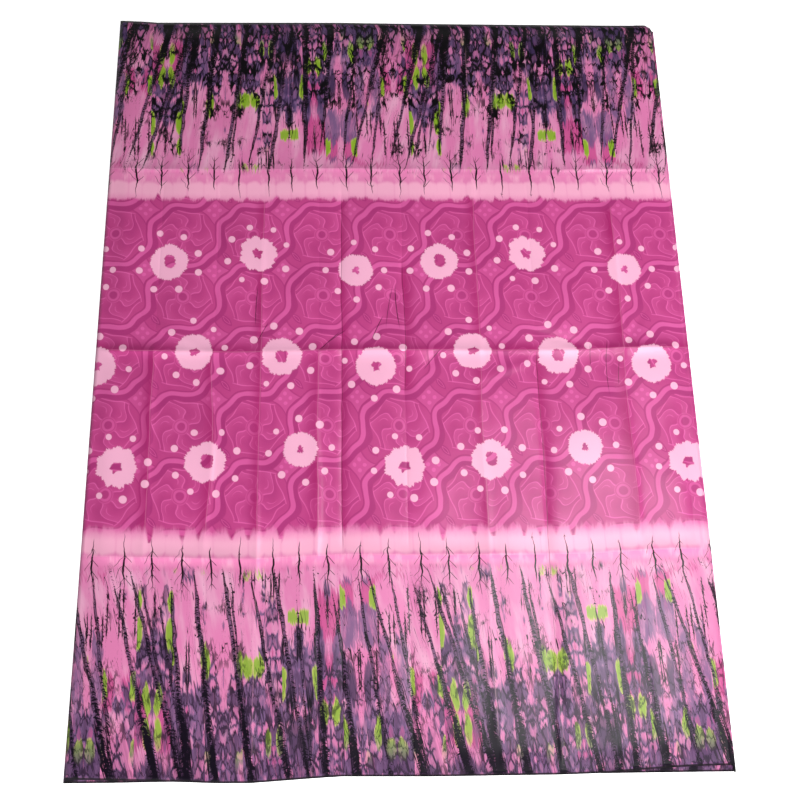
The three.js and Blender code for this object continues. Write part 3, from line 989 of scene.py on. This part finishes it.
def glaze(draft, colour):
    draft.join(colour, draft.shader.inputs["Base Color"])
    place = draft.add("ShaderNodeUVMap", uv_map="weave")
    puckers = draft.add("ShaderNodeTexNoise")
    setSockets(puckers, {"Scale": polish["puckerScale"], "Detail": polish["puckerDetail"]})
    crinkle = draft.add("ShaderNodeBump")
    setSockets(crinkle, {"Strength": polish["pucker"], "Distance": polish["puckerRise"] * mm})
    draft.join(place.outputs[0], puckers.inputs["Vector"])
    draft.join(puckers.outputs[0], crinkle.inputs["Height"])
    draft.join(crinkle.outputs[0], draft.shader.inputs["Normal"])
    setSockets(draft.shader, {"Roughness": polish["roughness"], "Specular IOR Level": polish["sheen"]})
    return draft.material


selvedge = {
    "from": 582.4,  # how far out its dark edge starts
    "share": 0.9,
}


def fieldCloth():
    draft = Draft("magentaDamaskPrint")
    across, along, side = printPlace(draft)
    field = magentaField(draft, across, along)
    colour = scallopedBand(draft, across, along, side, field, None)
    twigs = twigMarks(draft, across, side)
    # painted highlight and painted shade along the creases
    colour = paintedCreaseLight(draft, draft.dye(colour, dyes["black"], twigs), across, along)
    # painted shade in the wrinkles beside the middle crease
    colour = draft.dye(colour, dyes["wine"], paintedWrinkleShade(draft, across, along))
    return glaze(draft, colour)


def borderCloth():
    draft = Draft("streakedBorderPrint")
    across, along, side = printPlace(draft)
    border = streakyBorder(draft, across, along, side)
    colour = scallopedBand(draft, across, along, side, None, border)
    twigs = twigMarks(draft, across, side)
    edge = draft.over(draft.size(along), selvedge["from"], 0.8) * selvedge["share"]
    colour = draft.dye(colour, dyes["black"], draft.most(twigs, edge))
    # painted highlight and painted shade along the creases
    colour = paintedCreaseLight(draft, colour, across, along)
    return glaze(draft, colour)


upperLayer = makeUpperLayer()
lowerLayer = makeLowerLayer()
rightFold = makeRightFold()
fieldPrint, borderPrint = fieldCloth(), borderCloth()
for piece, node, slotName in ((upperLayer, "upper_layer", "printed_cloth"),
                              (lowerLayer, "lower_layer", "printed_cloth_under"),
                              (rightFold, "right_fold", "printed_cloth_fold")):
    piece.data.materials.append(fieldPrint)
    piece.data.materials.append(borderPrint)
    for face in piece.data.polygons:
        if abs(face.center.y) > band["middleSide"] * mm:
            face.material_index = 1
    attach(piece, "root")
    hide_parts(node)
print("cloth made:", len(upperLayer.data.polygons), "faces in the upper layer")

studio = {
    "floorReach": 5.5,      # of the flat paper, in metres
    "sweepRadius": 2.5,     # of the curve that takes it up
    "wallTop": 5.0,
    "floorDrop": 0.2,       # in millimetres, below the cloth
    "paperTone": 0.93,
    "paperGlow": 0.55,      # its own light, so that it stays white
    "camera": (-0.0161, -0.3054, 1.0514),
    "cameraTurn": (12.695, -1.044, -0.902),
    "lens": 32.4,
    "ambient": 0.07,
}


def makeFloor():
    # a round sheet of white paper that curves up far off on all sides
    around, bends = 48, 8
    reach, sweep = studio["floorReach"], studio["sweepRadius"]
    rises = [math.pi / 2 * i / bends for i in range(bends + 1)]
    profile = [(reach + sweep * math.sin(rise), sweep * (1 - math.cos(rise))) for rise in rises]
    profile.append((reach + sweep, studio["wallTop"]))
    turns = [2 * math.pi * k / around for k in range(around)]
    points = [(out * math.cos(turn), out * math.sin(turn), up) for out, up in profile for turn in turns]
    faces = [tuple(range(around))]
    for ring in range(len(profile) - 1):
        here, beyond = ring * around, (ring + 1) * around
        for k in range(around):
            after = (k + 1) % around
            faces.append((here + k, beyond + k, beyond + after, here + after))
    mesh = bpy.data.meshes.new("floor")
    mesh.from_pydata(points, [], faces)
    mesh.polygons.foreach_set("use_smooth", [i > 0 for i in range(len(faces))])
    floor = bpy.data.objects.new("floor", mesh)
    floor.location.z = -studio["floorDrop"] * mm
    floor.visible_diffuse = False  # the lights alone light the cloth
    bpy.context.collection.objects.link(floor)
    paper = Draft("whitePaper")
    tone = studio["paperTone"]
    setSockets(paper.shader, {"Base Color": (tone, tone, tone, 1), "Roughness": 0.9})
    setSockets(paper.shader, {"Emission Color": (1, 1, 1, 1), "Emission Strength": studio["paperGlow"]})
    mesh.materials.append(paper.material)


def softbox(name, place, target, size, power, mirrored=True):
    light = bpy.data.lights.new(name, "AREA")
    light.shape = "RECTANGLE"
    light.size, light.size_y = size
    light.energy = power
    lamp = bpy.data.objects.new(name, light)
    lamp.location = place
    aim = [t - p for t, p in zip(target, place)]
    flat = math.hypot(aim[0], aim[1])
    lamp.rotation_euler = (math.atan2(flat, -aim[2]), 0, math.atan2(aim[1], aim[0]) - math.pi / 2)
    lamp.visible_glossy = mirrored  # a low light would glare in the glaze
    bpy.context.collection.objects.link(lamp)


makeFloor()
softbox("windowLight", (0.72, -0.45, 1.7), (0.25, -0.3, 0.0), (1.0, 0.8), 30)
softbox("frontLight", (0.4, -4.2, 1.9), (0.0, 0.0, 0.0), (3.6, 1.8), 286, False)
softbox("sideLight", (4.6, 0.6, 2.4), (0.0, 0.0, 0.0), (2.8, 1.6), 80, False)

world = bpy.data.worlds.new("studioAir")
world.use_nodes = True
setSockets(world.node_tree.nodes["Background"], {"Color": (1, 1, 1, 1), "Strength": studio["ambient"]})
bpy.context.scene.world = world

view = bpy.data.cameras.new("viewFromAbove")
view.lens = studio["lens"]
view.sensor_width = 36
camera = bpy.data.objects.new("viewFromAbove", view)
camera.location = studio["camera"]
camera.rotation_euler = [math.radians(a) for a in studio["cameraTurn"]]
bpy.context.collection.objects.link(camera)
bpy.context.scene.camera = camera
bpy.context.scene.view_settings.view_transform = "Standard"
print("studio ready")
